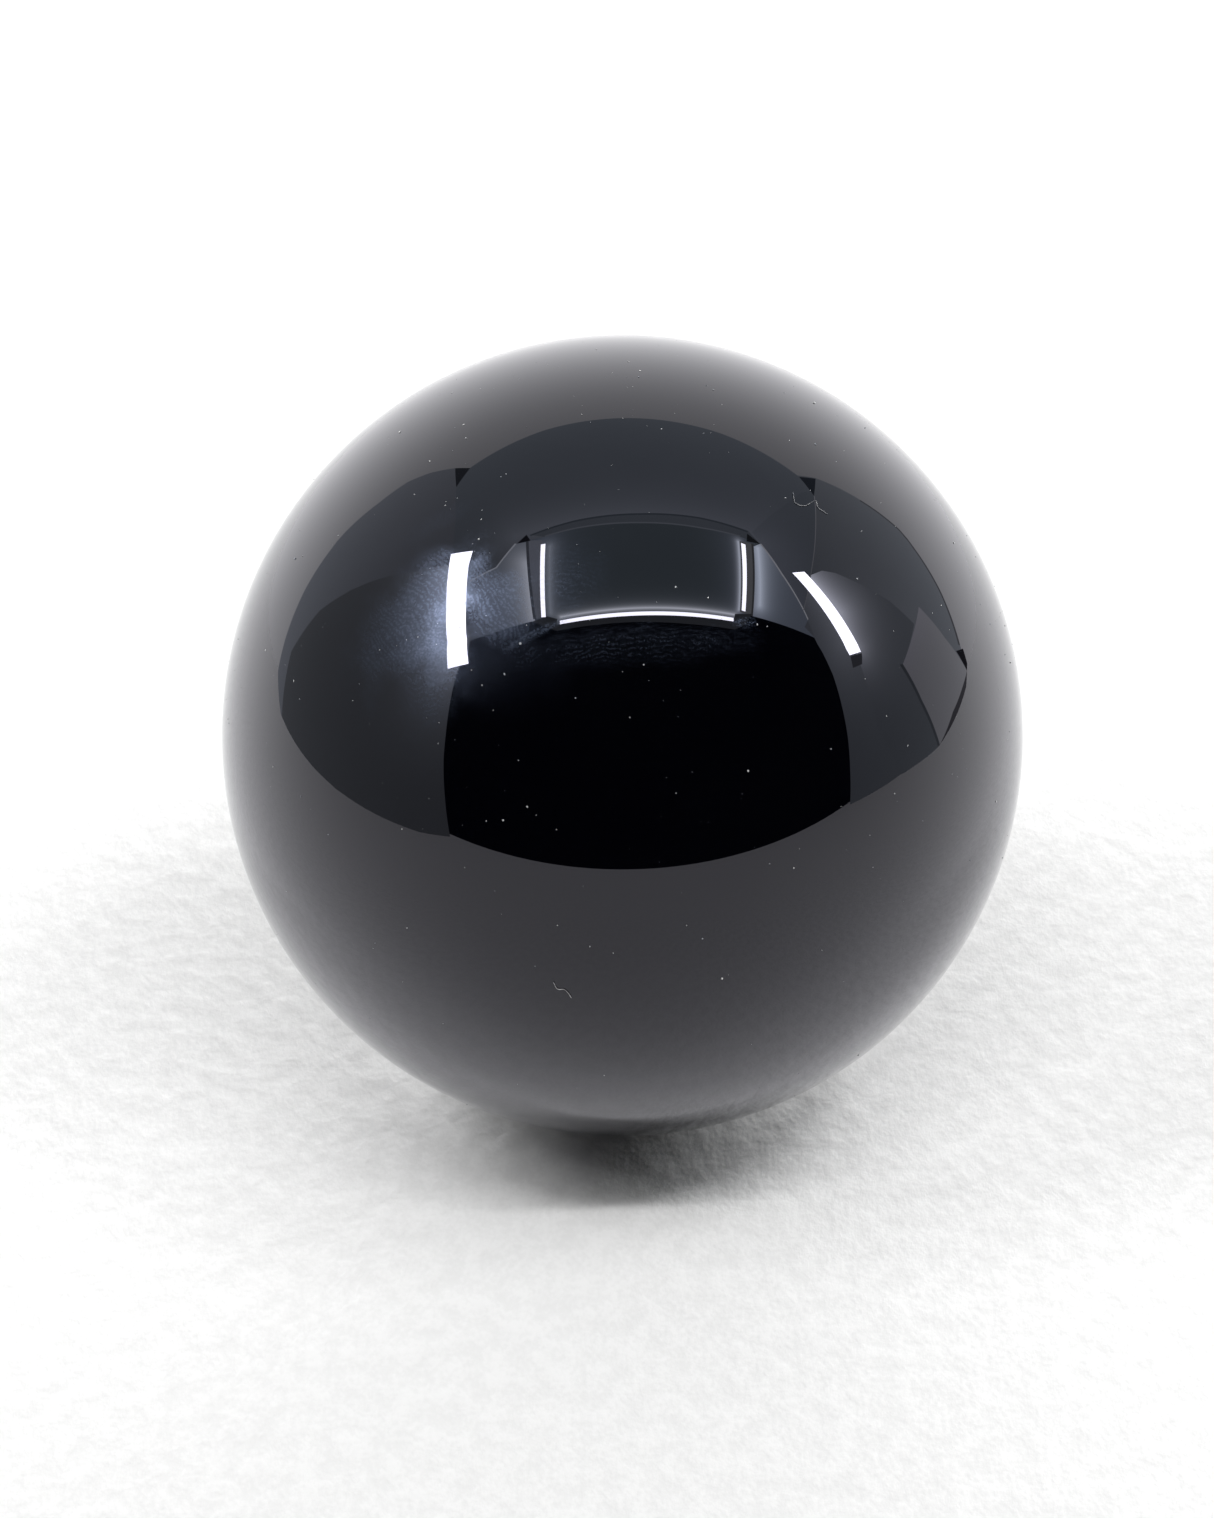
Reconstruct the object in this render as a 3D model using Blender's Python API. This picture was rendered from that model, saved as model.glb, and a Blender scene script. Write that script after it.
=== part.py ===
"""Polished black obsidian sphere: one solid ball of volcanic glass with a small resting flat.

The frame has its origin on the surface that the ball stands on, straight under its centre, with +Z up.
"""

import math

import bmesh
import bpy
from mathutils import Matrix, Vector

# Driving sizes, in metres
DIAMETER = 0.060
REST_FLAT_DIAMETER = 0.006

# Finish of volcanic glass, polished
OBSIDIAN_COLOUR = (0.006, 0.006, 0.007, 1.0)
OBSIDIAN_ROUGHNESS = 0.02
OBSIDIAN_IOR = 1.50

# The ball is a cube whose square faces are divided and blown out to a sphere, so its facets are of even size
FACETS_PER_CUBE_EDGE = 24
SAME_POINT = 1e-6

RADIUS = DIAMETER / 2
REST_FLAT_RADIUS = REST_FLAT_DIAMETER / 2
# The flat lies a little above the lowest point that a whole sphere would have
CENTRE_HEIGHT = math.sqrt(RADIUS**2 - REST_FLAT_RADIUS**2)


def clear_scene():
    """Remove whatever the opened file holds."""
    for thing in list(bpy.data.objects):
        bpy.data.objects.remove(thing)


def obsidian_material():
    """Black volcanic glass with a mirror polish."""
    material = bpy.data.materials.new("obsidian")
    material.use_nodes = True
    shader = material.node_tree.nodes["Principled BSDF"]
    shader.inputs["Base Color"].default_value = OBSIDIAN_COLOUR
    shader.inputs["Roughness"].default_value = OBSIDIAN_ROUGHNESS
    shader.inputs["Metallic"].default_value = 0.0
    shader.inputs["IOR"].default_value = OBSIDIAN_IOR
    return material


def equal_angle(coordinate):
    """Move a cube-face coordinate from -1 to 1 so that equal steps become equal angles on the sphere."""
    return math.tan(coordinate * math.pi / 4)


def blown_cube(radius):
    """A sphere of even square facets, centred on the origin, as a bmesh."""
    ball = bmesh.new()
    bmesh.ops.create_cube(ball, size=2)
    bmesh.ops.subdivide_edges(ball, edges=ball.edges, cuts=FACETS_PER_CUBE_EDGE - 1, use_grid_fill=True)
    for vertex in ball.verts:
        direction = Vector([equal_angle(c) for c in vertex.co])
        vertex.co = direction.normalized() * radius
    return ball


def grind_rest_flat(ball, height):
    """Cut the ball off below -height and close the cut with one flat face."""
    everything = ball.verts[:] + ball.edges[:] + ball.faces[:]
    cut = bmesh.ops.bisect_plane(
        ball,
        geom=everything,
        dist=SAME_POINT,
        plane_co=(0, 0, -height),
        plane_no=(0, 0, -1),
        clear_outer=True,
    )
    rim = [e for e in cut["geom_cut"] if isinstance(e, bmesh.types.BMEdge)]
    bmesh.ops.contextual_create(ball, geom=rim)


def make_sphere():
    """The ball as a named object, standing on its flat."""
    ball = blown_cube(RADIUS)
    grind_rest_flat(ball, CENTRE_HEIGHT)
    bmesh.ops.transform(ball, matrix=Matrix.Translation((0, 0, CENTRE_HEIGHT)), verts=ball.verts)
    bmesh.ops.recalc_face_normals(ball, faces=ball.faces)
    mesh = bpy.data.meshes.new("obsidian_sphere")
    ball.to_mesh(mesh)
    ball.free()
    mesh.shade_smooth()
    mesh.set_sharp_from_angle(angle=math.radians(20))
    mesh.materials.append(obsidian_material())
    sphere = bpy.data.objects.new("obsidian_sphere", mesh)
    bpy.context.scene.collection.objects.link(sphere)
    return sphere


clear_scene()
make_sphere()
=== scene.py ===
"""Looks of the polished black obsidian ball.

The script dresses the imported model: the volcanic glass and the finger marks on it, the dust and lint that lie
on it, the light tent that it mirrors, the paper that it stands on, and the camera.

Everything is in metres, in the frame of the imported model. The origin is the middle of the resting flat, +Z is
up, -Y points to the viewer and +X to the viewer's right.
"""

import logging
import math
import random
from collections.abc import Mapping, Sequence
from dataclasses import dataclass
from enum import Enum
from typing import TypeAlias

import bmesh
import bpy
from mathutils import Matrix, Quaternion, Vector


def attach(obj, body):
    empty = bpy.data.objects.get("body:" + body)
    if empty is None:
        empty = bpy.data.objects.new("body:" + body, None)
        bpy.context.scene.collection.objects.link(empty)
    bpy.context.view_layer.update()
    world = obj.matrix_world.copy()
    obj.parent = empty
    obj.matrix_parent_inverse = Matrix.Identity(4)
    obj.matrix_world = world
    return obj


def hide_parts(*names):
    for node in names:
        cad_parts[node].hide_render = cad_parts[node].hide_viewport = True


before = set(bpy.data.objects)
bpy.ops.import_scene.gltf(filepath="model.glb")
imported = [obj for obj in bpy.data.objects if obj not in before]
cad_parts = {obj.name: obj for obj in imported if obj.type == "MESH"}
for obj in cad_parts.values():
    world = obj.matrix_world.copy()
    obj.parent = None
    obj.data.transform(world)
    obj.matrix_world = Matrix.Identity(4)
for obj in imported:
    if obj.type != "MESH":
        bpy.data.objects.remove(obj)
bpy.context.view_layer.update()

LOG = logging.getLogger("obsidian_sphere")

MM = 0.001
CAD_NODE = "obsidian_sphere"
CAD_BODY = "root"

BALL_DIAMETER = 0.060
REST_FLAT_DIAMETER = 0.006
BALL_RADIUS = BALL_DIAMETER / 2
CENTRE = Vector((0, 0, math.sqrt(BALL_RADIUS**2 - (REST_FLAT_DIAMETER / 2) ** 2)))

# The sockets of a colour Mix node share their names with those of its other kinds, so they go by number
MIX_FIRST = 6
MIX_SECOND = 7
MIX_RESULT = 2

Colour = tuple[float, float, float]
Point = tuple[float, float, float]
Corner = tuple[float, float]
Span = tuple[float, float]
Value: TypeAlias = "float | Sequence[float] | Wire"


def compass(azimuth: float, elevation: float) -> Vector:
    """The direction that leaves the ball's centre at an azimuth and elevation.

    Args:
        azimuth: Degrees from the viewer's side, towards the viewer's right.
        elevation: Degrees above the horizontal.

    Returns:
        A vector of length 1.
    """
    turn, rise = math.radians(azimuth), math.radians(elevation)
    return Vector((math.sin(turn) * math.cos(rise), -math.cos(turn) * math.cos(rise), math.sin(rise)))


def link(name: str, shape: bmesh.types.BMesh) -> bpy.types.Object:
    """Turn a finished bmesh into an object at the origin.

    Args:
        name: Name of the object and of its mesh.
        shape: The bmesh, which is freed.

    Returns:
        The new object, linked to the scene.
    """
    mesh = bpy.data.meshes.new(name)
    shape.to_mesh(mesh)
    shape.free()
    thing = bpy.data.objects.new(name, mesh)
    bpy.context.scene.collection.objects.link(thing)
    return thing


# Shader maths


@dataclass(frozen=True)
class Clouds:
    """The grain of cloudy noise.

    Args:
        scale: Waves per unit of the place that the noise reads.
        detail: How many finer layers are laid over it.
        roughness: How strong each finer layer is, from 0 to 1.
    """

    scale: float
    detail: float = 2
    roughness: float = 0.5

    def per(self, length: float) -> "Clouds":
        """The same clouds, with their scale in waves per length."""
        return Clouds(self.scale / length, self.detail, self.roughness)


@dataclass(frozen=True)
class Wire:
    """A socket of a node tree that can be reckoned with as a number."""

    bench: "Bench"
    socket: bpy.types.NodeSocket

    def __add__(self, other: Value) -> "Wire":
        """This plus other."""
        return self.bench.math("ADD", self, other)

    __radd__ = __add__

    def __sub__(self, other: Value) -> "Wire":
        """This less other."""
        return self.bench.math("SUBTRACT", self, other)

    def __rsub__(self, other: Value) -> "Wire":
        """Other less this."""
        return self.bench.math("SUBTRACT", other, self)

    def __mul__(self, other: Value) -> "Wire":
        """This times other."""
        return self.bench.math("MULTIPLY", self, other)

    __rmul__ = __mul__

    def __truediv__(self, other: Value) -> "Wire":
        """This divided by other."""
        return self.bench.math("DIVIDE", self, other)

    def __pow__(self, other: Value) -> "Wire":
        """This to the power of other."""
        return self.bench.math("POWER", self, other)


class Bench:
    """The node tree of one material or world, and the few calls that fill it."""

    def __init__(self, owner: bpy.types.Material | bpy.types.World) -> None:
        """Empty the owner's node tree.

        Args:
            owner: The material or world to work on.
        """
        owner.use_nodes = True
        self.owner = owner
        self.tree = owner.node_tree
        self.tree.nodes.clear()

    def node(
        self,
        kind: str,
        settings: Mapping[str, object] | None = None,
        sockets: Mapping[str | int, Value] | None = None,
    ) -> bpy.types.Node:
        """Add one node.

        Args:
            kind: The node's type, without "ShaderNode".
            settings: The node's own properties, which are set first.
            sockets: What each input socket gets, a value or a Wire, by the socket's name or number.

        Returns:
            The new node.
        """
        made = self.tree.nodes.new("ShaderNode" + kind)
        for key, value in (settings or {}).items():
            setattr(made, key, value)
        for key, value in (sockets or {}).items():
            if isinstance(value, Wire):
                self.tree.links.new(value.socket, made.inputs[key])
            else:
                made.inputs[key].default_value = value
        return made

    def out(self, node: bpy.types.Node, socket: str | int = 0) -> Wire:
        """One output of a node, as a Wire."""
        return Wire(self, node.outputs[socket])

    def math(self, operation: str, *terms: Value) -> Wire:
        """A Math node on numbers or Wires."""
        return self.out(self.node("Math", {"operation": operation}, dict(enumerate(terms))))

    def vector(self, operation: str, *terms: Value) -> Wire:
        """A Vector Math node; its number output where the operation gives a number."""
        node = self.node("VectorMath", {"operation": operation}, dict(enumerate(terms)))
        return self.out(node, "Value" if operation in {"DOT_PRODUCT", "LENGTH"} else "Vector")

    def scaled(self, colour: Value, amount: Value) -> Wire:
        """A colour or vector times a number."""
        node = self.node("VectorMath", {"operation": "SCALE"}, {0: colour, "Scale": amount})
        return self.out(node, "Vector")

    def smooth(self, value: Value, low: float, high: float) -> Wire:
        """A smooth step.

        Args:
            value: What the step follows.
            low: The value at which the step is 0. It may be the greater of the two.
            high: The value at which the step is 1.

        Returns:
            The step, from 0 to 1.
        """
        if low > high:
            return 1 - self.smooth(value, high, low)
        settings = {"interpolation_type": "SMOOTHSTEP"}
        return self.out(self.node("MapRange", settings, {"Value": value, "From Min": low, "From Max": high}))

    def place(self) -> Wire:
        """The point on the surface, in metres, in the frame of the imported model."""
        return self.out(self.node("TexCoord"), "Object")

    def noise(self, where: Value, clouds: Clouds) -> Wire:
        """Cloudy noise about 0.5."""
        grain = {"Scale": clouds.scale, "Detail": clouds.detail, "Roughness": clouds.roughness}
        return self.out(self.node("TexNoise", {"noise_dimensions": "3D"}, {"Vector": where, **grain}))

    def sway(self, where: Value, clouds: Clouds) -> Wire:
        """Cloudy noise about 0."""
        return self.noise(where, clouds) - 0.5

    def mix(self, share: Value, first: Colour, second: Colour) -> Wire:
        """A colour between two: the first where share is 0, the second where it is 1."""
        sockets = {"Factor": share, MIX_FIRST: (*first, 1), MIX_SECOND: (*second, 1)}
        return self.out(self.node("Mix", {"data_type": "RGBA"}, sockets), MIX_RESULT)

    def principled(self, sockets: Mapping[str, Value]) -> bpy.types.Node:
        """A Principled BSDF."""
        return self.node("BsdfPrincipled", {}, sockets)

    def blend(self, share: Value, first: bpy.types.Node, second: bpy.types.Node) -> bpy.types.Node:
        """A shader between two: the first where share is 0, the second where it is 1."""
        return self.node("MixShader", {}, {"Fac": share, 1: self.out(first), 2: self.out(second)})

    def surface(self, shader: bpy.types.Node) -> None:
        """Send a shader to the output."""
        kind = "OutputWorld" if isinstance(self.owner, bpy.types.World) else "OutputMaterial"
        self.node(kind, {}, {"Surface": self.out(shader)})


# The ball


@dataclass(frozen=True)
class Skin:
    """How a finger prints its grease: blotchy, frayed at the edge, in ridges that bend and break up.

    Args:
        fray, fray_share: The noise that frays the edge of a mark, and how far.
        edge: Distance from a mark's middle, in half sizes, at which it ends, and at which it is full.
        near_side: Cosine of the angle from a mark's middle at which it is left out, and at which it is whole.
        blotches, thinnest: The noise that thins the grease, and the share that is left where the noise is 0.
        arch: How strongly the ridges arch, per metre.
        slow_bend, slow_swing: The noise of the ridges' wide bends, and their size in metres.
        quick_bend, quick_swing: The same for their small bends.
        pores, pore_span: The noise that breaks the ridges up, and where it does.
    """

    fray: Clouds = Clouds(14, 3)
    fray_share: float = 0.9
    edge: Span = (1.0, 0.25)
    near_side: Span = (0.2, 0.5)
    blotches: Clouds = Clouds(26, 4, 0.6)
    thinnest: float = 0.5
    arch: float = 18
    slow_bend: Clouds = Clouds(9, 1)
    slow_swing: float = 2.4 * MM
    quick_bend: Clouds = Clouds(45)
    quick_swing: float = 0.8 * MM
    pores: Clouds = Clouds(190, 1)
    pore_span: Span = (0.34, 0.62)


@dataclass(frozen=True)
class Patch:
    """A greasy area that a finger has left on the ball.

    Args:
        azimuth, elevation: Where its middle lies, in degrees.
        length, width: Its half sizes on the surface, in millimetres.
        turn: Degrees from level to its long side, as seen from outside.
        strength: Share of the polish that the grease covers at its middle.
        pitch: Distance between the ridges of the print, in millimetres, or 0 for a plain smear.
        depth: How clearly the ridges stand out, from 0 to 1.
        skin: What the print of any finger has in common.
    """

    azimuth: float
    elevation: float
    length: float
    width: float
    turn: float
    strength: float
    pitch: float = 0.0
    depth: float = 0.0
    skin: Skin = Skin()

    def mask(self, bench: Bench, outward: Wire) -> Wire:
        """How much grease lies at each point.

        Args:
            bench: The node tree.
            outward: The direction from the ball's centre, of length 1.

        Returns:
            The share of the polish that is covered, from 0 to about strength.
        """
        skin = self.skin
        middle = compass(self.azimuth, self.elevation)
        level = Vector((0, 0, 1)).cross(middle).normalized()
        upward = middle.cross(level)
        turn = math.radians(self.turn)
        along = (level * math.cos(turn) + upward * math.sin(turn)) * BALL_RADIUS
        across = (upward * math.cos(turn) - level * math.sin(turn)) * BALL_RADIUS
        run = bench.vector("DOT_PRODUCT", outward, tuple(along))
        rise = bench.vector("DOT_PRODUCT", outward, tuple(across))
        near_side = bench.smooth(bench.vector("DOT_PRODUCT", outward, tuple(middle)), *skin.near_side)
        distance = bench.math("SQRT", (run / (self.length * MM)) ** 2 + (rise / (self.width * MM)) ** 2)
        frayed = distance + bench.sway(outward, skin.fray) * skin.fray_share
        grease = bench.smooth(frayed, *skin.edge) * near_side * self.strength
        if not self.pitch:
            return grease
        grease = grease * (skin.thinnest + bench.noise(outward, skin.blotches))
        bend = run * run * skin.arch + bench.sway(outward, skin.slow_bend) * skin.slow_swing
        bend = bend + bench.sway(outward, skin.quick_bend) * skin.quick_swing
        wave = bench.math("SINE", (rise + bend) * (math.tau / (self.pitch * MM))) * 0.5 + 0.5
        dots = bench.smooth(bench.noise(outward, skin.pores), *skin.pore_span)
        return grease * (1 - self.depth * (1 - wave * dots))


@dataclass(frozen=True)
class Obsidian:
    """Volcanic glass with a mirror polish and the grease of fingers on it.

    Args:
        deep, warm: The two colours of the glass.
        flow, flow_span: The noise that parts the two colours, and where it turns from deep to warm.
        roughness, ior, mirror_tint: The polish.
        glance, glance_power: How much more the rim mirrors than plain glass does, and how steeply that grows.
        grease_roughness, grease_shine, grease_tint: The grease.
        film: Share of the polish that a thin film of grease covers everywhere.
        film_more, film_clouds, film_span: What it covers more in places, and the noise that says where.
        patches: The finger marks.
    """

    deep: Colour = (0.00012, 0.0002, 0.0004)
    warm: Colour = (0.0004, 0.0005, 0.0007)
    flow: Clouds = Clouds(2.2, 4)
    flow_span: Span = (0.35, 0.7)
    roughness: float = 0.0
    ior: float = 1.53
    mirror_tint: Colour = (0.89, 0.88, 1.0)
    glance: float = 0.30
    glance_power: int = 3
    grease_roughness: float = 0.30
    grease_shine: float = 1.0
    grease_tint: Colour = (0.60, 0.72, 1.0)
    film: float = 0.0011
    film_more: float = 0.0035
    film_clouds: Clouds = Clouds(3.5, 5, 0.6)
    film_span: Span = (0.45, 0.8)
    patches: tuple[Patch, ...] = (
        Patch(-41.8, 41.8, 4.2, 8.0, -20, 0.53, 0.40, 0.50),
        Patch(-34.6, 40.2, 1.7, 4.6, 10, 0.30, 0.40, 0.50),
        Patch(-49.5, 55.2, 1.3, 3.4, -32, 0.10, 0.40, 0.60),
        Patch(-34, 36, 3.8, 5.5, 10, 0.32, 0.42, 0.60),
        Patch(-26.4, 46.9, 4.4, 3.1, -35, 0.58, 0.38, 0.60),
        Patch(-22, 39, 7.0, 3.2, 10, 0.06, 0.42, 0.40),
        Patch(-14, 52, 4.5, 3.8, 15, 0.17, 0.40, 0.80),
        Patch(-16.5, 43.8, 3.3, 0.45, 37, 0.42, 0.36, 0.70),
        Patch(1, 43.1, 11.5, 1.9, 3, 0.20, 0.42, 0.85),
        Patch(23.5, 44.6, 1.2, 0.5, -10, 0.45, 0.30, 0.90),
        Patch(-19, 38.5, 8.5, 4.8, 8, 0.034),
    )

    def glass(self, bench: Bench, outward: Wire) -> bpy.types.Node:
        """The clean polish.

        Args:
            bench: The node tree.
            outward: The direction from the ball's centre, of length 1.

        Returns:
            The shader.
        """
        flow = bench.smooth(bench.noise(outward, self.flow), *self.flow_span)
        polished = bench.principled(
            {
                "Base Color": bench.mix(flow, self.deep, self.warm),
                "Roughness": self.roughness,
                "IOR": self.ior,
                "Specular Tint": (*self.mirror_tint, 1),
            }
        )
        glancing = bench.principled(
            {"Base Color": (*self.mirror_tint, 1), "Metallic": 1.0, "Roughness": self.roughness}
        )
        facing = bench.out(bench.node("LayerWeight"), "Facing")
        return bench.blend(self.glance * facing**self.glance_power, polished, glancing)

    def material(self) -> bpy.types.Material:
        """The finish as a material that reads Object coordinates.

        Returns:
            The material.
        """
        bench = Bench(bpy.data.materials.new("polished_obsidian"))
        outward = bench.vector("NORMALIZE", bench.vector("SUBTRACT", bench.place(), tuple(CENTRE)))
        cloudy = bench.smooth(bench.noise(outward, self.film_clouds), *self.film_span)
        film = self.film + self.film_more * cloudy
        for patch in self.patches:
            film = film + patch.mask(bench, outward)
        greasy = bench.principled(
            {
                "Base Color": (*self.deep, 1),
                "Roughness": self.grease_roughness,
                "IOR": self.ior,
                "Specular IOR Level": self.grease_shine,
                "Specular Tint": (*self.grease_tint, 1),
            }
        )
        bench.surface(bench.blend(film, self.glass(bench, outward), greasy))
        return bench.owner


@dataclass(frozen=True)
class Ball:
    """The ball of glass: a cube blown out to a sphere and ground flat where it rests.

    Args:
        diameter: Of the sphere, in metres.
        facets_per_cube_edge: Facets along each edge of the cube.
        merge: Distance under which two points are one, in metres.
        sharp_angle: Degrees between two facets from which the edge between them isn't smoothed.
        finish: The glass.
    """

    diameter: float = BALL_DIAMETER
    facets_per_cube_edge: int = 84
    merge: float = 1e-7
    sharp_angle: float = 4
    finish: Obsidian = Obsidian()

    def blown_cube(self) -> bmesh.types.BMesh:
        """A sphere of even four-sided facets, centred on the origin.

        Returns:
            The bmesh.
        """
        shape = bmesh.new()
        bmesh.ops.create_cube(shape, size=2)
        cuts = self.facets_per_cube_edge - 1
        bmesh.ops.subdivide_edges(shape, edges=shape.edges, cuts=cuts, use_grid_fill=True)
        for vertex in shape.verts:
            outward = Vector([math.tan(c * math.pi / 4) for c in vertex.co])
            vertex.co = outward.normalized() * self.diameter / 2
        return shape

    def build(self) -> bpy.types.Object:
        """The ball, standing on its flat, dressed and in place of its CAD node.

        Returns:
            The object.
        """
        shape = self.blown_cube()
        everything = shape.verts[:] + shape.edges[:] + shape.faces[:]
        cut = bmesh.ops.bisect_plane(
            shape, geom=everything, dist=self.merge, plane_co=-CENTRE, plane_no=(0, 0, -1), clear_outer=True
        )
        rim = [e for e in cut["geom_cut"] if isinstance(e, bmesh.types.BMEdge)]
        bmesh.ops.contextual_create(shape, geom=rim)
        bmesh.ops.transform(shape, matrix=Matrix.Translation(CENTRE), verts=shape.verts)
        bmesh.ops.recalc_face_normals(shape, faces=shape.faces)
        ball = link("polished_ball", shape)
        ball.data.shade_smooth()
        ball.data.set_sharp_from_angle(angle=math.radians(self.sharp_angle))
        ball.data.materials.append(self.finish.material())
        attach(ball, CAD_BODY)
        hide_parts(CAD_NODE)
        return ball


# What lies on the ball


@dataclass(frozen=True)
class Fluff:
    """The finish of dust, skin and textile fibre: pale, dull and a little uneven in colour.

    Args:
        name: The material's name.
        pale, dark: Its two colours.
        grain, span: The noise that parts the colours, and where it turns from dark to pale.
        roughness, shine: How dull it is.
    """

    name: str
    pale: Colour
    dark: Colour
    grain: Clouds = Clouds(900)
    span: Span = (0.35, 0.65)
    roughness: float = 0.9
    shine: float = 0.2

    def material(self) -> bpy.types.Material:
        """The finish as a material.

        Returns:
            The material.
        """
        bench = Bench(bpy.data.materials.new(self.name))
        tone = bench.smooth(bench.noise(bench.place(), self.grain), *self.span)
        sockets = {
            "Base Color": bench.mix(tone, self.dark, self.pale),
            "Roughness": self.roughness,
            "Specular IOR Level": self.shine,
        }
        bench.surface(bench.principled(sockets))
        return bench.owner


@dataclass(frozen=True)
class Cluster:
    """A group of dust grains that lie close together.

    Args:
        azimuth, elevation: Where its middle lies, in degrees.
        spread: Degrees from its middle within which nearly all of its grains lie.
        count: How many grains it has.
    """

    azimuth: float
    elevation: float
    spread: float
    count: int


@dataclass(frozen=True)
class Dust:
    """Grains of dust that have settled on the ball.

    Args:
        seed: Of all that is left to chance.
        upper_band, lower_band: Heights between which grains lie, in radii above the ball's centre.
        upper_count, lower_count, clusters: How many lie there, and the groups of grains besides those.
        smallest, largest: Lengths of common grains, in metres.
        small_bias: The higher, the more of them are small.
        rare_share: Share of grains that are big.
        rare_largest, rare_sizes: The biggest one's size in metres, and the shares of it that they have.
        widths, heights: A grain's width and height, as shares of its length.
        lift: Height of a grain's middle above the glass, in the same way.
        finish: The material.
    """

    seed: int = 7
    upper_band: Span = (0.12, 1.0)
    lower_band: Span = (-0.75, 0.12)
    upper_count: int = 380
    lower_count: int = 110
    clusters: tuple[Cluster, ...] = (
        Cluster(147, 88, 4.0, 9),
        Cluster(0, 81.5, 5.0, 9),
        Cluster(-40, 58, 7.0, 12),
    )
    smallest: float = 0.04 * MM
    largest: float = 0.15 * MM
    small_bias: int = 3
    rare_share: float = 0.04
    rare_largest: float = 0.22 * MM
    rare_sizes: Span = (0.7, 1.0)
    widths: Span = (0.45, 1.0)
    heights: Span = (0.4, 0.8)
    lift: float = 0.12
    finish: Fluff = Fluff("dust", (0.78, 0.78, 0.77), (0.34, 0.36, 0.40))

    def places(self, dice: random.Random) -> list[Vector]:
        """Where the grains lie, as directions from the ball's centre.

        Args:
            dice: The seeded source of chance.

        Returns:
            The directions, each of length 1.
        """
        found = []
        for band, count in ((self.upper_band, self.upper_count), (self.lower_band, self.lower_count)):
            for _ in range(count):
                rise, turn = dice.uniform(*band), dice.uniform(0, math.tau)
                flat = math.sqrt(1 - rise * rise)
                found.append(Vector((flat * math.sin(turn), -flat * math.cos(turn), rise)))
        for cluster in self.clusters:
            middle = compass(cluster.azimuth, cluster.elevation)
            for _ in range(cluster.count):
                shake = Vector([dice.gauss(0, math.radians(cluster.spread) / 2) for _ in range(3)])
                found.append((middle + shake).normalized())
        return found

    def build(self) -> bpy.types.Object:
        """All grains as one piece on the ball.

        Returns:
            The object.
        """
        dice = random.Random(self.seed)
        shape = bmesh.new()
        for outward in self.places(dice):
            size = self.smallest + (self.largest - self.smallest) * dice.random() ** self.small_bias
            if dice.random() < self.rare_share:
                size = self.rare_largest * dice.uniform(*self.rare_sizes)
            squash = Matrix.Diagonal((1, dice.uniform(*self.widths), dice.uniform(*self.heights), 1))
            spin = Matrix.Rotation(dice.uniform(0, math.tau), 4, "Z")
            stand = outward.to_track_quat("Z", "Y").to_matrix().to_4x4()
            where = Matrix.Translation(CENTRE + outward * (BALL_RADIUS + size * self.lift))
            grain = where @ stand @ spin @ squash
            bmesh.ops.create_icosphere(shape, subdivisions=1, radius=size / 2, matrix=grain)
        dust = link("dust_grains", shape)
        dust.data.materials.append(self.finish.material())
        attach(dust, CAD_BODY)
        return dust


@dataclass(frozen=True)
class Fibre:
    """One textile fibre.

    Args:
        points: The points that it passes over, as azimuth and elevation in degrees.
        thickness: In metres.
    """

    points: tuple[Corner, ...]
    thickness: float


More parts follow.
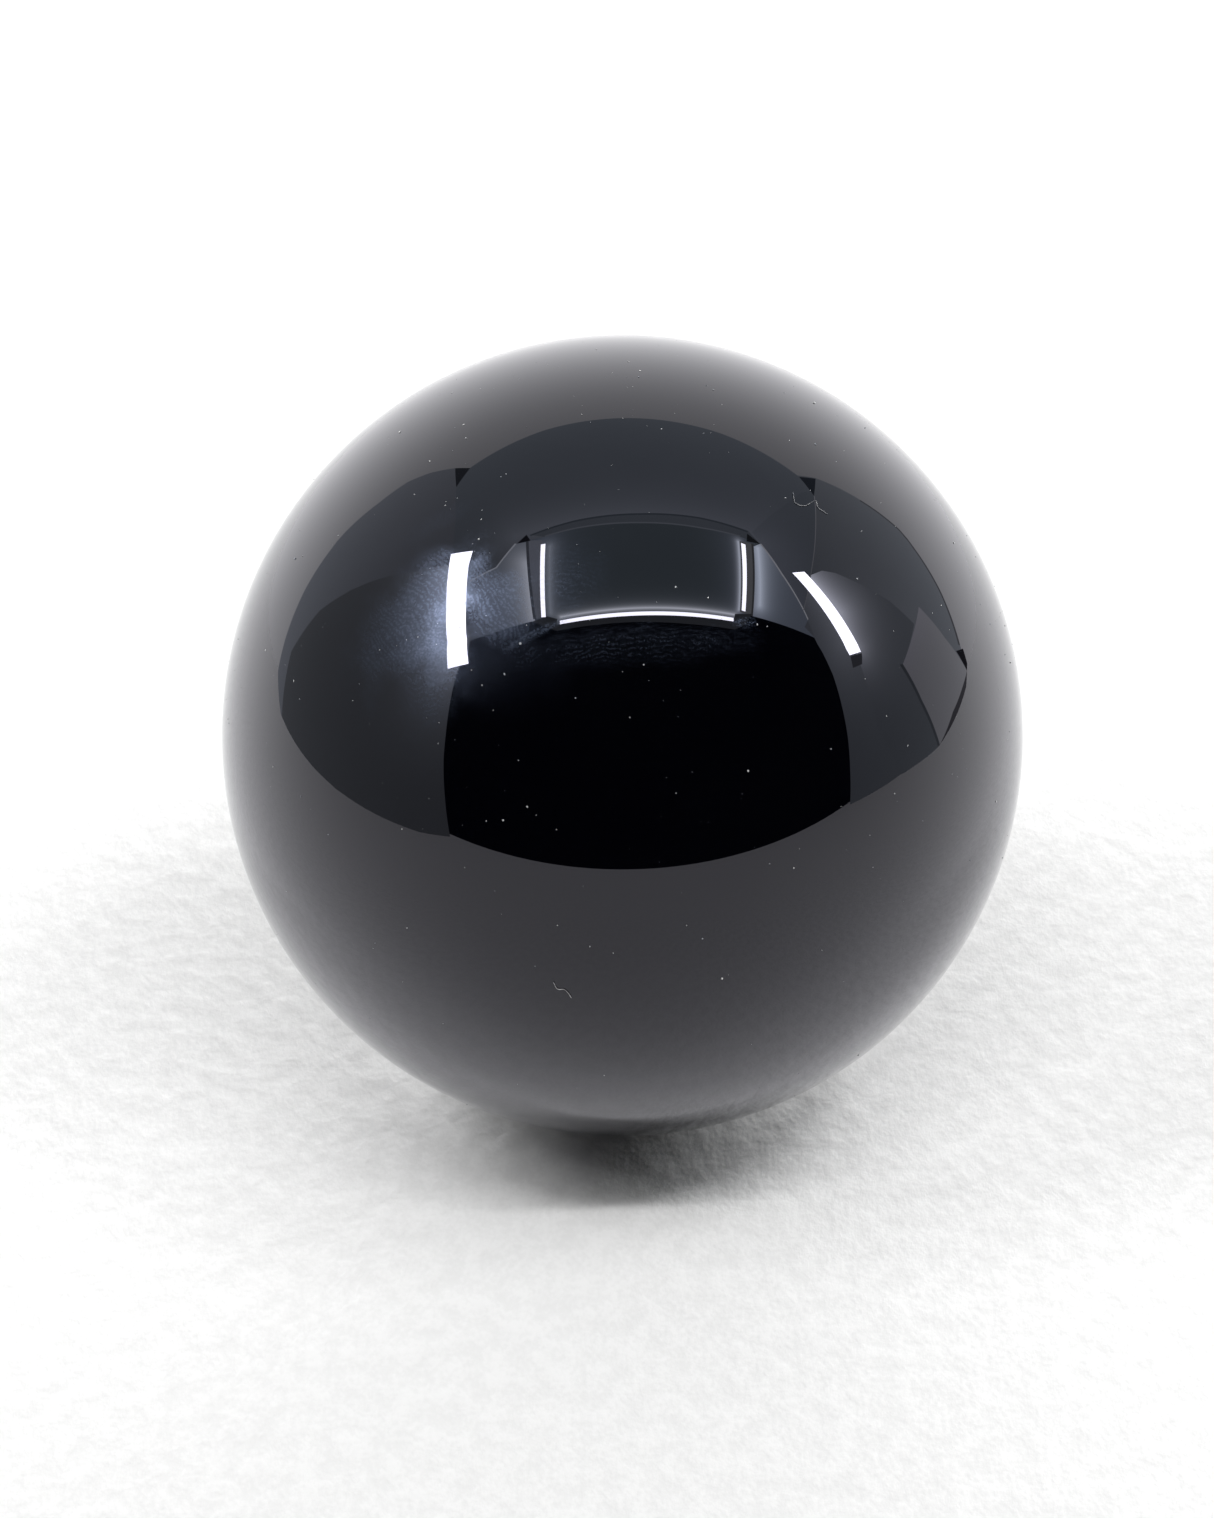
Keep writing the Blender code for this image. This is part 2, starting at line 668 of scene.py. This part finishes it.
@dataclass(frozen=True)
class Lint:
    """The curled fibres that cling to the ball.

    Args:
        fibres: The fibres.
        sides: Sides of a fibre's cross section.
        steps: Stretches between two of a fibre's points.
        lift: Gap between the glass and a fibre, in metres.
        finish: The material.
    """

    fibres: tuple[Fibre, ...] = (
        Fibre(
            ((52.7, 59.3), (50.7, 57.9), (52.6, 56.8), (56.6, 56.6), (55.6, 55.6), (56.4, 54.1)),
            0.034 * MM,
        ),
        Fibre(((-9.4, -5.2), (-8.9, -6.3), (-8.0, -6.3), (-7.4, -6.9), (-7.0, -7.7)), 0.050 * MM),
    )
    sides: int = 6
    steps: int = 6
    lift: float = 0.04 * MM
    finish: Fluff = Fluff("lint", (0.55, 0.55, 0.55), (0.22, 0.23, 0.25))

    def route(self, fibre: Fibre) -> list[Vector]:
        """The middle line of a fibre, a smooth curve through its points.

        Args:
            fibre: The fibre.

        Returns:
            Points just above the ball's surface.
        """
        marks = [compass(*point) for point in fibre.points]
        marks = [2 * marks[0] - marks[1], *marks, 2 * marks[-1] - marks[-2]]
        line = []
        for before, start, end, after in zip(marks, marks[1:], marks[2:], marks[3:]):
            for step in range(self.steps):
                t = step / self.steps
                bow = (end - before) * t + (2 * before - 5 * start + 4 * end - after) * t**2
                bow += (3 * start - before - 3 * end + after) * t**3
                line.append(start + bow / 2)
        line.append(marks[-2])
        radius = BALL_RADIUS + fibre.thickness / 2 + self.lift
        return [CENTRE + point.normalized() * radius for point in line]

    def sweep(self, shape: bmesh.types.BMesh, fibre: Fibre) -> None:
        """Draw a small disc out along a fibre's middle line.

        Args:
            shape: The bmesh that gets the fibre.
            fibre: The fibre.
        """
        line = self.route(fibre)
        facing = [(b - a).to_track_quat("Z", "Y") for a, b in zip(line, line[1:])]
        facing.append(facing[-1])
        place = Matrix.Translation(line[0]) @ facing[0].to_matrix().to_4x4()
        disc = bmesh.ops.create_circle(
            shape, cap_ends=True, segments=self.sides, radius=fibre.thickness / 2, matrix=place
        )
        cap = disc["verts"][0].link_faces[0]
        for a, b, old, new in zip(line, line[1:], facing, facing[1:]):
            cap = bmesh.ops.extrude_face_region(shape, geom=[cap], use_keep_orig=a is line[0])["geom"]
            cap = next(part for part in cap if isinstance(part, bmesh.types.BMFace))
            turn = (new @ old.inverted()).to_matrix().to_4x4()
            move = Matrix.Translation(b) @ turn @ Matrix.Translation(-a)
            bmesh.ops.transform(shape, matrix=move, verts=cap.verts)

    def build(self) -> bpy.types.Object:
        """All fibres as one piece on the ball.

        Returns:
            The object.
        """
        shape = bmesh.new()
        for fibre in self.fibres:
            self.sweep(shape, fibre)
        bmesh.ops.recalc_face_normals(shape, faces=shape.faces)
        lint = link("lint_fibres", shape)
        lint.data.shade_smooth()
        lint.data.materials.append(self.finish.material())
        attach(lint, CAD_BODY)
        return lint


# The light tent

# Lines that several cloths share, in millimetres: x and y on the ceiling, y and z on a wall
RIGHT_EAVE = ((266, 197), (271, 111), (279, 26), (292, -56))
RIGHT_HIP = ((172, 15), (219, -16), (292, -56), (360, -96))
LEFT_HIP = ((-126, -6), (-161, -32), (-212, -35))
HEM_TOP = ((-107, 1), (-52, 8), (19, 14), (86, 22), (151, 27))
HEM_FOOT = ((-89, -8), (-52, -5), (19, -1), (88, 5), (141, 12))
FOLD = (
    (20, 330), (43, 307), (55, 277), (67, 223), (82, 164), (90, 116), (22, 110), (20, 62), (32, 0), (-59, 13),
)
LEFT_EDGE = (
    (-135, 292), (-157, 221), (-189, 146), (-202, 111), (-225, 58), (-246, 6), (-183, 0), (-113, -6),
    (-65, -9), (14, -10), (75, -2),
)
STRIP_LIGHT = (26, 26, 27)


class Side(Enum):
    """The side of the tent that a cloth hangs on."""

    CEILING = "ceiling"
    LEFT = "left"
    RIGHT = "right"
    FRONT = "front"


@dataclass(frozen=True)
class Glow:
    """Light that a lamp close by throws on a cloth.

    Args:
        start, end: The lamp's ends on the cloth, in millimetres, in the cloth's own two directions.
        reach: Distance at which the light has fallen to a third, in millimetres.
        light: Brightness at the lamp.
    """

    start: Corner
    end: Corner
    reach: float
    light: Colour


@dataclass(frozen=True)
class Cloth:
    """One lit cloth, board or lamp face of the tent, given by its corners.

    Args:
        name: Its name in the scene.
        corners: In millimetres: x and y on the ceiling, y and z on a wall, x and z at the front.
        light: Its own brightness, where 1 is white paper in full light.
        glows: The light of lamps close to it.
        layer: Its place among the cloths that lie on one another, counted towards the ball.
        side: The side of the tent that it hangs on.
        stand_off: How far it stands off from its side, in millimetres.
    """

    name: str
    corners: tuple[Corner, ...]
    light: Colour
    glows: tuple[Glow, ...] = ()
    layer: int = 0
    side: Side = Side.CEILING
    stand_off: float = 0.0


CLOTHS = (
    Cloth(
        "ceiling_ring",
        (
            (-211, 164), (-189, 194), (-86, 212), (6, 218), (112, 224), (233, 220), *RIGHT_EAVE, (219, -16),
            (172, 15), (10, -40), (-125, -6), (-161, -32), (-212, -35), (-230, 31), (-214, 89),
        ),
        (0.50, 0.56, 0.62),
        (
            Glow((-125, 5), (172, 15), 35, (0.54, 0.57, 0.62)),
            Glow((220, -10), (290, -50), 80, (0.28, 0.29, 0.35)),
        ),
    ),
    Cloth(
        "ceiling_crease",
        (
            (157, 28), (162, 38), (181, 73), (205, 115), (222, 147), (235, 172), (258, 203), *RIGHT_EAVE,
            (219, -16), (172, 15),
        ),
        (0.46, 0.52, 0.575),
        (
            Glow((-125, 5), (172, 15), 35, (0.40, 0.43, 0.47)),
            Glow((220, -10), (290, -50), 80, (0.28, 0.29, 0.35)),
        ),
        layer=1,
    ),
    Cloth("tray_hem", (*HEM_TOP, (172, 15), *reversed(HEM_FOOT)), (0.62, 0.70, 0.77), layer=2),
    Cloth(
        "tray_hem_shadow", (*HEM_TOP, (150, 24), (86, 19.5), (19, 11.5), (-52, 5.5), (-106, -1)),
        (0.37, 0.44, 0.50), layer=3,
    ),
    Cloth(
        "tray_hem_light", (*HEM_FOOT, (141, 14), (88, 7), (19, 1), (-52, -3), (-88, -6)), (0.98, 1.07, 1.16),
        layer=3,
    ),
    Cloth(
        "lamp_tray",
        (
            (-125, -6), *HEM_FOOT, (172, 15), (170, -40), (189, -100), (184, -125), (169, -138), (95, -143),
            (24, -146), (-45, -151), (-94, -155), (-128, -135), (-113, -60),
        ),
        (0.42, 0.51, 0.55),
        (
            Glow((-84, -24), (-98, -125), 6, (1.96, 2.11, 2.22)),
            Glow((-92, -16), (-110, -130), 25, (0.47, 0.53, 0.72)),
            Glow((139.5, 3), (165.5, -103), 3, (5.8, 6.2, 6.6)),
            Glow((141, 3), (167, -103), 20, (0.62, 0.67, 0.83)),
            Glow((-84, -133.5), (160, -113.5), 2.5, (6.0, 6.2, 6.2)),
            Glow((-84, -134), (160, -114), 9, (1.6, 1.7, 1.8)),
        ),
        layer=1,
    ),
    Cloth(
        "front_left_cloth",
        (
            (-113, -8), *LEFT_HIP, (-245, -95), (-293, -190), (-258, -139), (-188, -137), (-124, -133),
            (-112, -67),
        ),
        (0.87, 0.99, 1.15), (Glow((-117, -40), (-127, -130), 18, (4.55, 4.74, 4.83)),), layer=2,
    ),
    Cloth(
        "front_right_cloth", (*RIGHT_HIP, (253, -103), (192, -107), (163, 6)), (0.83, 0.95, 1.11),
        (Glow((170, 6), (199, -84), 9, (4.2, 4.6, 4.9)), Glow((168, 4), (197, -88), 30, (1.86, 2.11, 2.41))),
        layer=2,
    ),
    Cloth("left_hip_seam", (*LEFT_HIP, (-212, -33), (-162, -30), (-128, -4.5)), (3.10, 3.27, 3.38), layer=4),
    Cloth(
        "right_hip_seam", (*RIGHT_HIP, (361, -93.5), (293, -53.5), (220.5, -13.5), (173.5, 16.5)),
        (3.10, 3.16, 3.19), layer=4,
    ),
    Cloth(
        "right_wall_seam", (*RIGHT_EAVE, (294, -56), (281, 26), (273, 111), (268, 197)), (1.25, 1.26, 1.30),
        layer=4,
    ),
    Cloth("left_post", ((-113, -6), (-92, -12), (-104, -130), (-126, -130)), (1.25, 1.34, 1.50), layer=3),
    Cloth(
        "left_post_edge", ((-113, -6), (-109.5, -7), (-121.5, -130), (-126, -130)), (0.50, 0.54, 0.60),
        layer=4,
    ),
    Cloth("right_post", ((141, 5), (161, 9), (192, -107), (168, -106)), (1.10, 1.14, 1.12), layer=3),
    Cloth("right_post_edge", ((158.5, 9), (162, 9), (193, -107), (189.5, -107)), (0.45, 0.46, 0.46), layer=4),
    Cloth(
        "front_strip", ((-86.7, -139.3), (160.7, -119.3), (162.5, -125.3), (-87.8, -145.3)), STRIP_LIGHT,
        layer=5,
    ),
    Cloth(
        "strip_housing",
        (
            (-129, -134), (-104, -129), (-90, -136), (-93, -145), (163, -125), (161, -112), (178, -107),
            (190, -103), (185, -125), (170, -139), (95, -144), (24, -147), (-45, -152), (-95, -156),
        ),
        (0.30, 0.32, 0.34), layer=4,
    ),
    Cloth(
        "left_strip", ((-94.6, -18), (-88.9, -18.5), (-106.2, -129.8), (-112.8, -129)), STRIP_LIGHT, layer=5
    ),
    Cloth("right_strip", ((143.6, 3), (150.1, 3), (177, -102.8), (170.1, -102.8)), STRIP_LIGHT, layer=5),
    Cloth("corner_left", ((-217, 225), (-188, 193), (-211, 164)), (0.11, 0.12, 0.14), layer=5),
    Cloth("corner_right", ((235, 219), (276, 263), (266, 197)), (0.11, 0.13, 0.16), layer=5),
    Cloth("tray_corner_left", ((-125, -6), (-111, 3), (-107, -8)), (0.08, 0.08, 0.10), layer=5),
    Cloth("tray_corner_right", ((150, 22), (172, 15), (151, 9)), (0.12, 0.13, 0.14), layer=5),
    Cloth(
        "right_side",
        (
            (-86, 266), (-104, 198), (-122, 146), (-135, 107), (-150, 65), (-164, 17), (-59, 13), (32, -1),
            (88, -1), (133, -1), (156, 5), (168, 27), (207, 73), (258, 147), (277, 227), (306, 337),
            (306, 400), (-86, 400),
        ),
        (0.61, 0.66, 0.71), (Glow((67, 224), (90, 116), 60, (0.09, 0.09, 0.10)),), side=Side.RIGHT,
    ),
    Cloth(
        "right_side_lit", ((-59, 320), *FOLD, (-164, 17), (-150, 65), (-135, 107), (-104, 198), (-87, 267)),
        (0.41, 0.45, 0.49), (Glow((0, 320), (-45, 215), 52, (1.05, 1.10, 1.18)),), layer=1, side=Side.RIGHT,
    ),
    Cloth(
        "right_side_shine",
        ((10, 345), *FOLD, (-75, 80), (-62, 130), (-47, 168), (-35, 200), (-21, 244), (-7, 292)),
        (0.41, 0.45, 0.49),
        (
            Glow((10, 330), (-45, 190), 45, (0.40, 0.42, 0.47)),
            Glow((14, 330), (-6, 240), 34, (3.10, 3.16, 3.38)),
            Glow((14, 330), (-28, 182), 14, (1.96, 2.00, 2.12)),
        ),
        layer=2, side=Side.RIGHT,
    ),
    Cloth(
        "right_flap", ((125, 114), (136, 59), (156, 5), (91, -1), (32, -1), (23, 59), (22, 110), (69, 113)),
        (0.99, 1.00, 1.03), (Glow((125, 114), (22, 110), 20, (0.14, 0.12, 0.18)),), layer=3, side=Side.RIGHT,
    ),
    Cloth(
        "flap_shadow", ((22, 110), (23, 59), (32, -1), (27, -1), (18, 59), (16, 114)), (0.27, 0.30, 0.33),
        layer=3, side=Side.RIGHT,
    ),
    Cloth(
        "right_side_hem",
        ((168, 27), (207, 73), (258, 147), (277, 227), (273, 228), (254, 149), (203, 76), (163, 31)),
        (0.30, 0.31, 0.33), layer=2, side=Side.RIGHT,
    ),
    Cloth(
        "flap_corner", ((147.5, 34), (172, 20), (166, 7), (156, 5)), (0.05, 0.05, 0.06), layer=4,
        side=Side.RIGHT,
    ),
    Cloth(
        "flap_edge", ((156, 5), (133, -1), (88, -1), (32, 0), (80, 8), (123, 7)), (0.21, 0.21, 0.23), layer=4,
        side=Side.RIGHT,
    ),
    Cloth(
        "right_bar", ((-5, 256), (6, 236), (-25.7, 127), (-39.7, 136)), (30, 30, 32), side=Side.RIGHT,
        stand_off=115,
    ),
    # A dim patch below the right bar's lower end, just behind the bar.
    Cloth(
        "bar_end_patch", ((-40, 135), (-26, 126), (-34, 120), (-46, 126)), (0.31, 0.32, 0.35), side=Side.RIGHT,
        stand_off=114,
    ),
    Cloth(
        "left_side",
        (
            *LEFT_EDGE, (118, 14), (133, 32), (159, 68), (193, 126), (215, 180), (243, 229), (255, 275),
            (263, 341), (263, 410), (-135, 410),
        ),
        (0.58, 0.62, 0.68), side=Side.LEFT,
    ),
    Cloth(
        "left_side_lit",
        ((16, 305), (41, 230), (66, 173), (100, 90), (106, 40), *reversed(LEFT_EDGE), (-60, 345)),
        (0.32, 0.34, 0.36), (Glow((15, 320), (-130, 245), 50, (2.27, 2.42, 2.61)),), layer=1, side=Side.LEFT,
    ),
    Cloth(
        "left_bar",
        (
            (14, 206.7), (7, 241.5), (-9, 229), (-46, 209), (-103.6, 173.8), (-85.6, 148), (-66, 163),
            (-31, 183),
        ),
        (34, 34, 36), side=Side.LEFT, stand_off=100,
    ),
    Cloth(
        "dark_opening", ((-1500, -1), (1500, -1), (1500, 1500), (-1500, 1500)), (0.01, 0.01, 0.02),
        side=Side.FRONT,
    ),
)


@dataclass(frozen=True)
class LightTent:
    """The table-top light tent round the ball. Only what mirrors it shows it.

    Args:
        ceiling_height, right_wall, left_wall, front_edge: Where its sides are, in metres.
        layer_gap: Distance between two cloths that lie on one another, in metres.
        weave, cloth_unevenness: The noise that makes a cloth's light uneven, and how much.
        lamp_light: Brightness from which a cloth counts as a lamp.
        cloths: The cloths, boards and lamps.
        sweep_profile: The curve of the paper behind the ball, as y and z in millimetres.
        sweep_half_width: Half its width, in metres.
        sweep_bottom, sweep_top: Its brightness at the bottom and at the top.
        sweep_fade: Heights between which the one turns to the other, in metres.
    """

    ceiling_height: float = 300 * MM
    right_wall: float = 315 * MM
    left_wall: float = -250 * MM
    front_edge: float = -330 * MM
    layer_gap: float = 0.1 * MM
    weave: Clouds = Clouds(12, 3)
    cloth_unevenness: float = 0.05
    lamp_light: float = 20.0
    cloths: tuple[Cloth, ...] = CLOTHS
    sweep_profile: tuple[Corner, ...] = (
        (190, 0), (207, 9), (240, 58), (275, 110), (297, 150), (318, 225), (330, 300), (335, 480),
    )
    sweep_half_width: float = 700 * MM
    sweep_top: Colour = (1.06, 1.06, 1.06)
    sweep_bottom: Colour = (1.27, 1.27, 1.27)
    sweep_fade: Span = (0.0, 0.35)

    def spot(self, cloth: Cloth, corner: Corner) -> Vector:
        """The place in the room of a point on a cloth.

        Args:
            cloth: The cloth.
            corner: The point's two coordinates on the cloth's side of the tent, in millimetres.

        Returns:
            The point, in metres.
        """
        first, second = corner[0] * MM, corner[1] * MM
        nearer = cloth.layer * self.layer_gap + cloth.stand_off * MM
        return {
            Side.CEILING: Vector((first, second, self.ceiling_height - nearer)),
            Side.RIGHT: Vector((self.right_wall - nearer, first, second)),
            Side.LEFT: Vector((self.left_wall + nearer, first, second)),
            Side.FRONT: Vector((first, self.front_edge + nearer, second)),
        }[cloth.side]

    def lit(self, cloth: Cloth) -> bpy.types.Material:
        """The light that a cloth sends out.

        Args:
            cloth: The cloth.

        Returns:
            The material.
        """
        bench = Bench(bpy.data.materials.new(cloth.name))
        here = bench.place()
        light = bench.scaled(cloth.light, 1 + bench.sway(here, self.weave) * (2 * self.cloth_unevenness))
        for glow in cloth.glows:
            start = self.spot(cloth, glow.start)
            along = self.spot(cloth, glow.end) - start
            offset = bench.vector("SUBTRACT", here, tuple(start))
            share = bench.vector("DOT_PRODUCT", offset, tuple(along / along.length_squared))
            share = bench.math("MINIMUM", bench.math("MAXIMUM", share, 0.0), 1.0)
            away = bench.vector("LENGTH", bench.vector("SUBTRACT", offset, bench.scaled(tuple(along), share)))
            fall = bench.math("EXPONENT", away * (-1 / (glow.reach * MM)))
            light = bench.vector("ADD", light, bench.scaled(glow.light, fall))
        bench.surface(bench.node("Emission", {}, {"Color": light}))
        if max(cloth.light) < self.lamp_light:
            bench.owner.cycles.emission_sampling = "NONE"
        return bench.owner

    def hang(self, cloth: Cloth) -> bpy.types.Object:
        """Cut one cloth to its corners and hang it.

        Args:
            cloth: The cloth.

        Returns:
            The object.
        """
        shape = bmesh.new()
        corners = [shape.verts.new(self.spot(cloth, corner)) for corner in cloth.corners]
        hem = [shape.edges.new(pair) for pair in zip(corners, corners[1:] + corners[:1])]
        bmesh.ops.triangle_fill(shape, use_beauty=True, use_dissolve=False, edges=hem)
        return self.only_mirrored(link(cloth.name, shape), self.lit(cloth))

    def sweep(self) -> bpy.types.Object:
        """The paper that rises behind the ball in one curve.

        Returns:
            The object.
        """
        shape = bmesh.new()
        points = [Vector((-self.sweep_half_width, y * MM, z * MM)) for y, z in self.sweep_profile]
        line = [shape.verts.new(point) for point in points]
        edges = [shape.edges.new(pair) for pair in zip(line, line[1:])]
        drawn = bmesh.ops.extrude_edge_only(shape, edges=edges)["geom"]
        moved = [part for part in drawn if isinstance(part, bmesh.types.BMVert)]
        bmesh.ops.translate(shape, verts=moved, vec=(2 * self.sweep_half_width, 0, 0))
        bench = Bench(bpy.data.materials.new("paper_sweep"))
        height = bench.out(bench.node("SeparateXYZ", {}, {0: bench.place()}), "Z")
        tone = bench.mix(bench.smooth(height, *self.sweep_fade), self.sweep_bottom, self.sweep_top)
        bench.surface(bench.node("Emission", {}, {"Color": tone}))
        bench.owner.cycles.emission_sampling = "NONE"
        return self.only_mirrored(link("paper_sweep", shape), bench.owner)

    def only_mirrored(self, thing: bpy.types.Object, material: bpy.types.Material) -> bpy.types.Object:
        """Dress a part of the tent and hide it from all but mirrors.

        Args:
            thing: The part.
            material: Its material.

        Returns:
            The part.
        """
        thing.data.materials.append(material)
        thing.visible_camera = False
        thing.visible_diffuse = False
        thing.visible_shadow = False
        thing.visible_transmission = False
        return thing

    def build(self) -> list[bpy.types.Object]:
        """The whole tent.

        Returns:
            Its parts.
        """
        return [self.sweep(), *(self.hang(cloth) for cloth in self.cloths)]


# Light on the paper, the paper and the camera


@dataclass(frozen=True)
class Softbox:
    """A lamp that lights the paper and casts the ball's shadow. Neither mirrors nor the camera see it.

    Args:
        name: Its name in the scene.
        start, end: The ends of its long middle line, in metres.
        width: Across that line, in metres.
        power: In watts.
    """

    name: str
    start: Point
    end: Point
    width: float
    power: float

    def build(self) -> bpy.types.Object:
        """The lamp, turned to the ball.

        Returns:
            The light object.
        """
        start, end = Vector(self.start), Vector(self.end)
        lamp = bpy.data.lights.new(self.name, "AREA")
        lamp.shape = "RECTANGLE"
        lamp.size = (end - start).length
        lamp.size_y = self.width
        lamp.energy = self.power
        box = bpy.data.objects.new(self.name, lamp)
        middle = (start + end) / 2
        outward = (middle - CENTRE).normalized()
        along = end - start
        along = (along - outward * along.dot(outward)).normalized()
        turn = Matrix((along, outward.cross(along), outward)).transposed()
        box.matrix_world = Matrix.Translation(middle) @ turn.to_4x4()
        box.visible_glossy = False
        box.visible_camera = False
        bpy.context.scene.collection.objects.link(box)
        return box


@dataclass(frozen=True)
class Studio:
    """The even white surround and the lamps in it.

    Args:
        seen: Brightness of the surround to the camera.
        mirrored: Its brightness in mirrors, where the tent leaves a gap.
        fill: The light that it throws on the paper.
        lamps: The lamps.
    """

    seen: float = 1.0
    mirrored: float = 0.55
    fill: float = 0.004
    lamps: tuple[Softbox, ...] = (
        Softbox("front_lamp", (-0.90, -1.37, 2.73), (1.63, -1.21, 2.73), 0.14, 42.5),
        Softbox("right_lamp", (1.47, 0.06, 2.73), (1.73, -1.02, 2.73), 0.20, 18),
        Softbox("left_lamp", (-2.10, -0.03, 2.73), (-2.10, -1.33, 2.10), 0.20, 28),
        Softbox("right_side_lamp", (3.10, 0.03, 3.10), (3.10, -0.50, 2.10), 0.20, 6),
        Softbox("left_cloth_lamp", (-1.85, 1.50, 2.39), (-1.85, -1.50, 2.39), 0.78, 10),
        Softbox("right_cloth_lamp", (2.78, -1.50, 1.30), (2.78, 1.50, 1.30), 0.75, 2.2),
        Softbox("back_lamp", (-1.10, 1.20, 0.16), (1.30, 1.20, 0.16), 0.32, 70),
    )

    def build(self) -> None:
        """Light the world and hang the lamps."""
        world = bpy.data.worlds.new("white_surround")
        bpy.context.scene.world = world
        bench = Bench(world)
        path = bench.node("LightPath")
        strength = self.mirrored + bench.out(path, "Is Camera Ray") * (self.seen - self.mirrored)
        strength = strength + bench.out(path, "Is Diffuse Ray") * (self.fill - self.mirrored)
        bench.surface(bench.node("Background", {}, {"Color": (1, 1, 1, 1), "Strength": strength}))
        for lamp in self.lamps:
            lamp.build()


@dataclass(frozen=True)
class Paper:
    """The sheet of cold-pressed paper that the ball stands on.

    Args:
        half_size: Half its side, in metres.
        white, mottle_and_shade: Its colour, and that of the grain's hollows: partly its own uneven tone, partly
            painted shade.
        grain_size, grain_height: Of the low bumps that the felt presses in, in metres.
        grain_draw: The lower, the more the bumps are drawn out away from the viewer.
        bumps, tooth: The two noises that make the bumps, with scale in waves per grain.
        tooth_height: Height of the finer noise, as a share of the other's.
        hollow_shade_span: Where the mean of the two turns from the darker, shaded hollow colour to white.
        roughness, shine: How dull it is.
    """

    half_size: float = 3.0
    white: Colour = (0.94, 0.94, 0.935)
    mottle_and_shade: Colour = (0.885, 0.885, 0.88)
    grain_size: float = 0.9 * MM
    grain_height: float = 0.09 * MM
    grain_draw: float = 0.6
    bumps: Clouds = Clouds(0.55, 2, 0.45)
    tooth: Clouds = Clouds(2.4, 2, 0.6)
    tooth_height: float = 0.25
    hollow_shade_span: Span = (0.38, 0.62)
    roughness: float = 0.9
    shine: float = 0.25

    def material(self) -> bpy.types.Material:
        """The finish: white and dull, with bumps, and darker in their hollows with painted shade.

        Returns:
            The material.
        """
        bench = Bench(bpy.data.materials.new("cold_pressed_paper"))
        drawn = bench.vector("MULTIPLY", bench.place(), (1.0, self.grain_draw, 1.0))
        bumps = bench.noise(drawn, self.bumps.per(self.grain_size))
        tooth = bench.noise(drawn, self.tooth.per(self.grain_size))
        height = bumps + tooth * self.tooth_height
        relief = bench.node("Bump", {}, {"Strength": 1.0, "Distance": self.grain_height, "Height": height})
        # The grain's hollows turn to the darker colour: partly the paper's own uneven tone, partly painted
        # shade.
        clear_of_hollows = bench.smooth(bumps * 0.5 + tooth * 0.5, *self.hollow_shade_span)
        sockets = {
            "Base Color": bench.mix(clear_of_hollows, self.mottle_and_shade, self.white),
            "Roughness": self.roughness,
            "Specular IOR Level": self.shine,
            "Normal": bench.out(relief),
        }
        bench.surface(bench.principled(sockets))
        return bench.owner

    def build(self) -> bpy.types.Object:
        """The sheet, with its face at height 0.

        Returns:
            The object.
        """
        shape = bmesh.new()
        bmesh.ops.create_grid(shape, x_segments=1, y_segments=1, size=self.half_size)
        sheet = link("paper", shape)
        sheet.data.materials.append(self.material())
        return sheet


@dataclass(frozen=True)
class PhotoCamera:
    """A camera at the photograph's viewing angle, with the ball at its place in the frame.

    Args:
        elevation: Degrees above the horizontal.
        distance: From the ball's centre, in metres.
        frame_width, frame_height: Size of the picture, in pixels.
        ball_x, ball_y: The ball's centre in the picture, in pixels from its left top corner.
        ball_radius: The ball's radius in the picture, in pixels.
        sensor: Length of the sensor's long side, in millimetres.
        nearest, farthest: Distances between which the camera sees, in metres.
    """

    elevation: float = 31.0
    distance: float = 0.450
    frame_width: float = 1214
    frame_height: float = 1518
    ball_x: float = 622.3
    ball_y: float = 735.4
    ball_radius: float = 400.7
    sensor: float = 36.0
    nearest: float = 0.01
    farthest: float = 20.0

    def build(self) -> bpy.types.Object:
        """The camera, which becomes the scene's camera.

        Returns:
            The camera object.
        """
        focal = self.ball_radius / math.tan(math.asin(BALL_RADIUS / self.distance))
        camera = bpy.data.objects.new("camera", bpy.data.cameras.new("camera"))
        camera.data.sensor_fit = "AUTO"
        camera.data.sensor_width = self.sensor
        camera.data.lens = focal * self.sensor / self.frame_height
        camera.data.clip_start = self.nearest
        camera.data.clip_end = self.farthest
        back = compass(0, self.elevation)
        camera.location = CENTRE + back * self.distance
        aim = (-back).to_track_quat("-Z", "Y")
        to_left = math.atan((self.ball_x - self.frame_width / 2) / focal)
        to_below = math.atan((self.frame_height / 2 - self.ball_y) / focal)
        camera.rotation_mode = "QUATERNION"
        swing = Quaternion((0, 1, 0), to_left) @ Quaternion((1, 0, 0), -to_below)
        camera.rotation_quaternion = aim @ swing
        bpy.context.scene.collection.objects.link(camera)
        bpy.context.scene.camera = camera
        return camera


def report(pieces: Sequence[bpy.types.Object]) -> None:
    """Log each piece with its number of faces."""
    for piece in pieces:
        LOG.info("%s: %d faces", piece.name, len(piece.data.polygons))


def main() -> None:
    """Build everything in order and report each piece."""
    logging.basicConfig(level=logging.INFO, format="%(name)s: %(message)s")
    bpy.context.scene.view_settings.view_transform = "Standard"
    PhotoCamera().build()
    Studio().build()
    report([Paper().build(), *LightTent().build()])
    report([Ball().build(), Dust().build(), Lint().build()])


if __name__ == "__main__":
    main()
